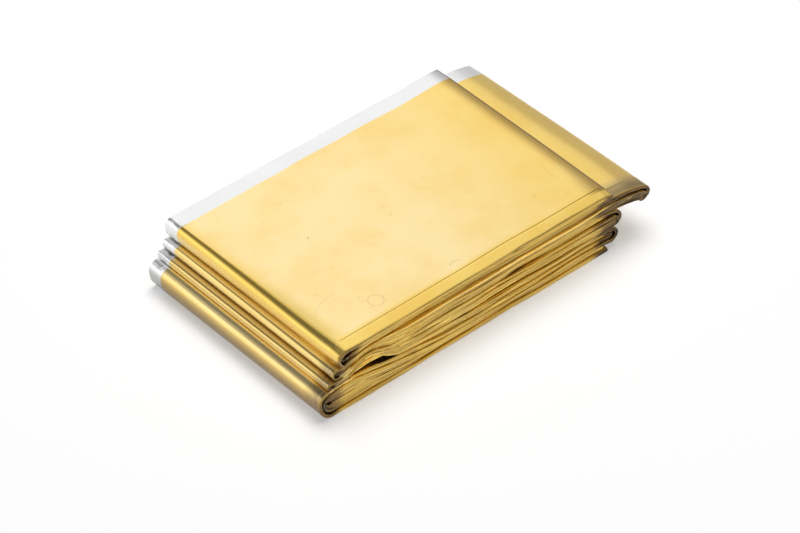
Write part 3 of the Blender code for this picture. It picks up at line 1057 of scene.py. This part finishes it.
def top_marks(tree, x, y, z):
    """How strongly each place is marked, from 0 to 1, by the arcs and the specks of the top face."""

    def from_centre(centre_x, centre_y):
        dx, dy = x - (centre_x - MIDDLE_X) * MM, y - centre_y * MM
        return dx, dy, (dx * dx + dy * dy) ** 0.5

    total = 0.0
    for arc in ARCS:
        dx, dy, distance = from_centre(arc.x, arc.y)
        off_line = abs(distance - arc.radius * MM)
        angle = tree.math("ARCTAN2", dy, dx)
        starts = [math.radians(arc.start + step) for step in (-ARC_FADE_OUT, ARC_FADE_IN)]
        stops = [math.radians(arc.end + step) for step in (-ARC_FADE_IN, ARC_FADE_OUT)]
        ends = angle.rise(*starts) * (1 - angle.rise(*stops))
        total = total + (1 - off_line.rise(0.0, arc.half * MM)) * ends * arc.depth
    for speck_x, speck_y, size in SPECKS:
        distance = from_centre(speck_x, speck_y)[2]
        total = total + (1 - distance.rise(size * SPECK_CORE * MM, size * MM)) * SPECK_DEPTH
    return total * z.rise(TOP_FACE_LOW, TOP_FACE_HIGH)


print(len(ARCS), "arcs and", len(SPECKS), "specks")

# %% The film's material
# Lengths are in metres here, and scales are spots per metre.
MARGIN, MARGIN_SOFT, MARGIN_WANDER = 0.0063, 0.00012, 0.0012
WANDER_SCALE, CLOUD_SCALE, SCUFF_SCALE = 45.0, 42.0, 260.0
GRAIN_SCALE, DENT_SCALE, CRINKLE_SCALE = 900.0, 70.0, 330.0
GRAIN_HEIGHT, DENT_HEIGHT, MARK_DEPTH, CRINKLE_HEIGHT = 0.000004, 0.00008, 0.00004, 0.00050
LOOPS_OUT, LOOPS_IN = -0.069, -0.060
MARK_DULL, SCUFF_DULL = 0.36, 0.22
DEEP_BROWN_BELOW = 0.05
PALE_MOST, PALE_MOTTLE = 1.15, 0.60
DEEP_CLOUDS, PALE_CLOUDS = (0.35, 0.65), (0.25, 0.80)
SCUFFED, SCUFFED_CLOUDS = (0.58, 0.80), (0.45, 0.62)
SMOOTH, CLOUD_ROUGH, SILVER_ROUGH, RECESS_ROUGH = 0.13, 0.10, 0.08, 0.06
PLAIN_INPUTS = {
    "Metallic": 1.0,
    "Specular Tint": (0.94, 0.92, 0.88, 1.0),
    "Coat IOR": 1.6,
    "Coat Roughness": 0.12,
}


def film_material():
    """Metal on film: gold with a silver margin along the sheet's edge."""
    material = bpy.data.materials.new("gold_and_silver_film")
    material.use_nodes = True
    tree = Tree(material.node_tree)
    place = tree.node("ShaderNodeTexCoord").outputs["Object"]
    x, y, z = tree.parts(place)
    film = tree.node("ShaderNodeUVMap", {"uv_map": "film"}).outputs["UV"]
    shade, painted_paleness, recess_light = (
        tree.term(tree.node("ShaderNodeAttribute", {"attribute_name": name}))
        for name in ("shade", "painted_paleness", "recess_light")
    )
    wander = (tree.noise(place, WANDER_SCALE, 2.0) - 0.5) * MARGIN_WANDER
    gold_here = (tree.parts(film)[0] + wander).rise(MARGIN - MARGIN_SOFT, MARGIN + MARGIN_SOFT)
    clouds = tree.noise(place, CLOUD_SCALE, 5.0, 0.6)
    marks = top_marks(tree, x, y, z)
    scuffs = tree.noise(place, SCUFF_SCALE, 6.0, 0.7)
    scuffed = scuffs.rise(*SCUFFED) * clouds.rise(*SCUFFED_CLOUDS)

    gold = tree.mixed(clouds.rise(*DEEP_CLOUDS), GOLD, DEEP_GOLD)
    # The top face's painted light, mottled by the clouds, and then the recesses' painted light.
    mottled = painted_paleness * (PALE_MOST - PALE_MOTTLE * clouds.rise(*PALE_CLOUDS))
    gold = tree.mixed(recess_light, tree.mixed(mottled, gold, PALE_GOLD), RECESS_LIGHT_GOLD)
    # The colours of the painted shade: brown on the gold, deep brown where it is darkest, and grey on the
    # silver.
    brown = tree.mixed(shade.rise(0.0, DEEP_BROWN_BELOW), DEEP_BROWN, BROWN)
    shade_colour = tree.mixed(gold_here, SHADE_SILVER, brown)
    bright = tree.mixed(gold_here, SILVER, gold)
    # How far the colour goes from the lit one towards the painted shade: by the painted shade, the marks
    # and the scuffs.
    brightness = shade * (1 - marks * MARK_DULL) * (1 - scuffed * SCUFF_DULL)

    height = tree.noise(place, GRAIN_SCALE, 3.0) * GRAIN_HEIGHT
    height = height + tree.noise(place, DENT_SCALE, 2.0) * DENT_HEIGHT - marks * MARK_DEPTH
    margin_at_loops = (1 - gold_here) * (1 - x.rise(LOOPS_OUT, LOOPS_IN))
    height = height + tree.noise(place, CRINKLE_SCALE, 2.0) * margin_at_loops * CRINKLE_HEIGHT
    bump = tree.node("ShaderNodeBump", None, {"Height": height, "Distance": 1.0, "Strength": 1.0})

    shader = material.node_tree.nodes["Principled BSDF"]
    for name, value in PLAIN_INPUTS.items():
        tree.feed(shader.inputs[name], value)
    rough = SMOOTH + clouds * CLOUD_ROUGH + (1 - gold_here) * SILVER_ROUGH + recess_light * RECESS_ROUGH
    tree.feed(shader.inputs["Base Color"], tree.mixed(brightness, shade_colour, bright))
    tree.feed(shader.inputs["Roughness"], rough)
    # The coat fades out with the painted shade.
    tree.feed(shader.inputs["Coat Weight"], shade ** 2)
    tree.feed(shader.inputs["Normal"], bump.outputs["Normal"])
    return material


FILM = film_material()
mesh.materials.append(FILM)
print("film material:", len(FILM.node_tree.nodes), "nodes")

# %% [markdown]
# ## The unevenness of the packet
# Nothing here is quite straight: the passes swell a little, and the front edges, which were pressed
# together, are crumpled. Moving the vertices by chance would push layers through each other. So
# Geometry Nodes warp the space that the packet lies in: points that are close together move
# together, and the layers stay apart.

# %% Warp the packet with Geometry Nodes
# The sizes are in metres. Each crumple has its stretch along X, Y and Z, its scale, its seed and its
# share: long waves, short dents, which are stronger at the left loops, and fine lines.
WARP_SIZES = (
    ("Swell", 0.00006), ("Swell Size", 0.024), ("Crumple", 0.00055), ("Crumple Reach", 0.006),
    ("Front", -0.0447), ("Seed", 4.0),
)
EVEN = (1.0, 1.0, 1.0)
LONG_WAVES = ((0.06, 0.18, 1.0), 560.0, 7.0, 1.0)
SHORT_DENTS = ((0.45, 0.3, 1.0), 480.0, 13.0, 0.30)
FINE_LINES = ((0.02, 0.1, 1.0), 1500.0, 19.0, 0.42)
CRUMPLE_SHAPE = (0.3, 1.6, 0.8)
WARP_DETAIL = 1.5
OFF_FLOOR = 0.004
TOP_KEPT_FROM, TOP_KEPT = 0.0240, 0.0254
LOOPS_MOST, LOOPS_NONE, LOOPS_MORE = -0.066, -0.048, 1.8


def unevenness_tree():
    """Moves every point by smooth noise, gently everywhere and more along the front edge."""
    group = bpy.data.node_groups.new("packet unevenness", "GeometryNodeTree")
    group.interface.new_socket("Geometry", in_out="INPUT", socket_type="NodeSocketGeometry")
    for name, size in WARP_SIZES:
        socket = group.interface.new_socket(name, in_out="INPUT", socket_type="NodeSocketFloat")
        socket.default_value = size
    group.interface.new_socket("Film", in_out="INPUT", socket_type="NodeSocketMaterial")
    group.interface.new_socket("Geometry", in_out="OUTPUT", socket_type="NodeSocketGeometry")
    tree = Tree(group)
    given = tree.node("NodeGroupInput")
    value = {name: tree.term(given, name) for name, _ in WARP_SIZES}
    position = tree.node("GeometryNodeInputPosition").outputs["Position"]
    x, y, z = tree.parts(position)

    def shaken(stretch, scale, seed):
        """A vector for every place that changes smoothly from one to the next, about zero."""
        made = tree.node(
            "ShaderNodeTexNoise",
            {"noise_dimensions": "4D"},
            {
                "Vector": tree.vector("MULTIPLY", position, stretch),
                "W": seed,
                "Scale": scale,
                "Detail": WARP_DETAIL,
            },
        )
        return tree.vector("SUBTRACT", made.outputs["Color"], (0.5, 0.5, 0.5))

    def crumpled(kind, more=1.0):
        stretch, scale, seed, share = kind
        moves = shaken(stretch, scale, value["Seed"] + seed)
        return tree.scaled(moves, value["Crumple"] * share * more)

    off_floor = z.rise(0.0, OFF_FLOOR)
    at_front = 1 - (y - value["Front"]).rise(0.0, value["Crumple Reach"])
    below_top = 1 - z.rise(TOP_KEPT_FROM, TOP_KEPT)
    at_loops = 1 + (1 - x.rise(LOOPS_MOST, LOOPS_NONE)) * LOOPS_MORE
    swell = shaken(EVEN, 1.0 / value["Swell Size"], value["Seed"])
    swell = tree.scaled(swell, value["Swell"] * 2.0 * off_floor)
    crumple = tree.vector("ADD", crumpled(LONG_WAVES), crumpled(SHORT_DENTS, at_loops))
    crumple = tree.vector("ADD", crumple, crumpled(FINE_LINES))
    shaped = tree.vector("MULTIPLY", crumple, CRUMPLE_SHAPE)
    front = tree.scaled(shaped, at_front * below_top * off_floor)
    made = given.outputs["Geometry"]
    offset = tree.vector("ADD", swell, front)
    made = tree.node("GeometryNodeSetPosition", None, {"Geometry": made, "Offset": offset}).outputs[0]
    made = tree.node("GeometryNodeRealizeInstances", None, {"Geometry": made}).outputs[0]
    dress = {"Geometry": made, "Material": given.outputs["Film"]}
    made = tree.node("GeometryNodeSetMaterial", None, dress).outputs[0]
    tree.node("NodeGroupOutput", None, {"Geometry": made})
    return group


group = unevenness_tree()
warp = sheet.modifiers.new("unevenness", "NODES")
warp.node_group = group
for item in group.interface.items_tree:
    if item.in_out == "INPUT" and item.name == "Film":
        warp[item.identifier] = FILM
depsgraph = bpy.context.evaluated_depsgraph_get()
warped = bpy.data.meshes.new_from_object(sheet.evaluated_get(depsgraph), depsgraph=depsgraph)
sheet.modifiers.clear()
sheet.data = warped
warped.name = "foil_sheet"

# %% [markdown]
# ## The floor
# A product table for small goods: a pale sheet that glows a little from below, so that it stays
# white under a shiny thing. A white wall sweeping up behind it would do too, but the film would show
# its curve, so this is one flat square, larger than what the film reflects.

# %% The floor
FLOOR_HALF = 3.0
FLOOR_TONE, FLOOR_GLOW = 0.90, 0.42


def floor_material():
    material = bpy.data.materials.new("pale_table")
    material.use_nodes = True
    shader = material.node_tree.nodes["Principled BSDF"]
    shader.inputs["Base Color"].default_value = (FLOOR_TONE, FLOOR_TONE, FLOOR_TONE, 1.0)
    shader.inputs["Roughness"].default_value = 0.9
    shader.inputs["Specular IOR Level"].default_value = 0.0
    shader.inputs["Emission Color"].default_value = (1.0, 1.0, 1.0, 1.0)
    shader.inputs["Emission Strength"].default_value = FLOOR_GLOW
    return material


floor_mesh = bpy.data.meshes.new("table")
corners = [(-1, -1), (1, -1), (1, 1), (-1, 1)]
floor_mesh.from_pydata([(x * FLOOR_HALF, y * FLOOR_HALF, 0.0) for x, y in corners], [], [(0, 1, 2, 3)])
floor_mesh.materials.append(floor_material())
floor = bpy.data.objects.new("table", floor_mesh)
bpy.context.scene.collection.objects.link(floor)
print("floor:", 2 * FLOOR_HALF, "m square")

# %% [markdown]
# ## The lights
# Film is a mirror, so what is seen on it is the lights themselves. One set of lamps for both shine
# and shadow would tie the two together. Here three softboxes are only mirrored, each placed where a
# face of the packet reflects it, and one large lamp overhead lights the floor and makes the shadow.

# %% The lights
# Each light stands at a distance, in metres, towards an azimuth and an elevation. Its radiance falls
# to the share "foot" at its lower edge and to "side" at its left one.
Light = namedtuple("Light", "name azimuth elevation distance width height radiance foot side mirrored")
LIGHTS = (
    Light("key softbox", 136.0, 43.0, 2.0, 1.0, 1.46, 0.56, 1.0, 0.64, True),
    Light("left softbox", 222.0, 27.0, 1.0, 0.6, 1.05, 0.30, 0.80, 1.0, True),
    Light("front fill", 33.0, 22.0, 2.0, 1.3, 1.2, 0.38, 1.0, 1.0, True),
    Light("overhead", 136.0, 76.0, 2.0, 1.6, 1.6, 4.0, 1.0, 1.0, False),
)
TARGET = Vector((0.0, 0.0, 0.012))
FOOT_RISE, SIDE_RISE = (0.1, 0.7), (0.2, 0.9)


def direction(azimuth, elevation):
    """The unit vector to a place: azimuth 0 is in front, along -Y, and 90 on the right, along +X."""
    a, e = math.radians(azimuth), math.radians(elevation)
    return Vector((math.sin(a) * math.cos(e), -math.cos(a) * math.cos(e), math.sin(e)))


for light in LIGHTS:
    data = bpy.data.lights.new(light.name, "AREA")
    data.shape = "RECTANGLE"
    data.size, data.size_y = light.width, light.height
    data.energy = light.radiance * math.pi * light.width * light.height
    data.use_nodes = True
    tree = Tree(data.node_tree)
    face_x, face_y, _ = tree.parts(tree.node("ShaderNodeNewGeometry").outputs["Parametric"])
    upward, sideways = face_y.rise(*FOOT_RISE), face_x.rise(*SIDE_RISE)
    share = (light.foot + upward * (1.0 - light.foot)) * (light.side + sideways * (1.0 - light.side))
    tree.feed(data.node_tree.nodes["Emission"].inputs["Strength"], share)
    lamp = bpy.data.objects.new(light.name, data)
    towards = direction(light.azimuth, light.elevation)
    lamp.location = TARGET + towards * light.distance
    lamp.rotation_euler = towards.to_track_quat("Z", "Y").to_euler()
    lamp.visible_camera = False
    lamp.visible_glossy = light.mirrored
    lamp.visible_diffuse = not light.mirrored
    bpy.context.scene.collection.objects.link(lamp)
    print(light.name, "at", [round(c, 2) for c in lamp.location], round(data.energy, 1), "W")

# %% [markdown]
# ## The room
# A real studio has dark places too, and rounded film shows them as the dark lines that give it its
# shape. Black cards could stand round the table. Nodes on the world are simpler: light all round,
# a glow from the left, and a dark patch high up on the far side, with a gap in it. None of it lights
# the floor.

# %% The room
ROOM, PATCH, LEFT_GLOW = 0.60, 0.17, 0.42
PATCH_AZIMUTH, GAP_AZIMUTH, LEFT_AZIMUTH = 137.0, 134.0, 228.0
PATCH_FOOT, PATCH_TOP, PATCH_SIDE = (0.66, 0.72), (0.88, 0.94), (0.10, 0.25)
GAP_SIDE = (0.982, 0.9945)
LEFT_SIDE, LEFT_TOP = (0.2, 0.7), (0.60, 0.74)
STRAIGHT_UP = 0.0001

world = bpy.data.worlds.new("studio")
world.use_nodes = True
tree = Tree(world.node_tree)
x, y, z = tree.parts(tree.node("ShaderNodeTexCoord").outputs["Generated"])


def facing(azimuth):
    """How far each direction of the room lies towards an azimuth."""
    middle = direction(azimuth, 0.0)
    return x * middle.x + y * middle.y


level = (x * x + y * y + STRAIGHT_UP) ** 0.5
in_gap = (facing(GAP_AZIMUTH) / level).rise(*GAP_SIDE)
patch = z.rise(*PATCH_FOOT) * (1 - z.rise(*PATCH_TOP))
patch = patch * (facing(PATCH_AZIMUTH) / level).rise(*PATCH_SIDE) * (1 - in_gap)
leftward = facing(LEFT_AZIMUTH).rise(*LEFT_SIDE) * (1 - z.rise(*LEFT_TOP))
background = world.node_tree.nodes["Background"]
background.inputs["Color"].default_value = (1.0, 1.0, 1.0, 1.0)
tree.feed(background.inputs["Strength"], ROOM - (ROOM - PATCH) * patch + LEFT_GLOW * leftward)
world.cycles_visibility.diffuse = False
bpy.context.scene.world = world
bpy.context.scene.view_settings.view_transform = "Standard"
print("room:", len(world.node_tree.nodes), "nodes")

# %% [markdown]
# ## The camera
# A packet that fits in a hand is shown from the near left corner, well above it, where the top, the
# front and the loops are all in view. A close camera with a wide lens would spread the near corner,
# so this one stands over a metre away with a long lens.

# %% The camera
CAMERA_AZIMUTH, CAMERA_ELEVATION, CAMERA_DISTANCE = -41.34, 41.61, 1.36603
SENSOR_WIDTH, LENS = 36.0, 180.0
PICTURE_WIDTH, SHIFT_X, SHIFT_Y = 800, 9.10, -4.02

camera_data = bpy.data.cameras.new("camera")
camera_data.sensor_width = SENSOR_WIDTH
camera_data.lens = LENS
camera_data.shift_x = SHIFT_X / PICTURE_WIDTH
camera_data.shift_y = SHIFT_Y / PICTURE_WIDTH
camera = bpy.data.objects.new("camera", camera_data)
back = direction(CAMERA_AZIMUTH, CAMERA_ELEVATION)
camera.location = Vector((-MIDDLE_X * MM, 0.0, 0.0)) + back * CAMERA_DISTANCE
camera.rotation_euler = back.to_track_quat("Z", "Y").to_euler()
bpy.context.scene.collection.objects.link(camera)
bpy.context.scene.camera = camera
print("camera at", [round(c, 3) for c in camera.location])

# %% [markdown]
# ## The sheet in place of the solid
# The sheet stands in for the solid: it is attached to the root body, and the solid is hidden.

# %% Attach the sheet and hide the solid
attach(sheet, "root")
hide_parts("foil_blanket")
bpy.context.view_layer.update()
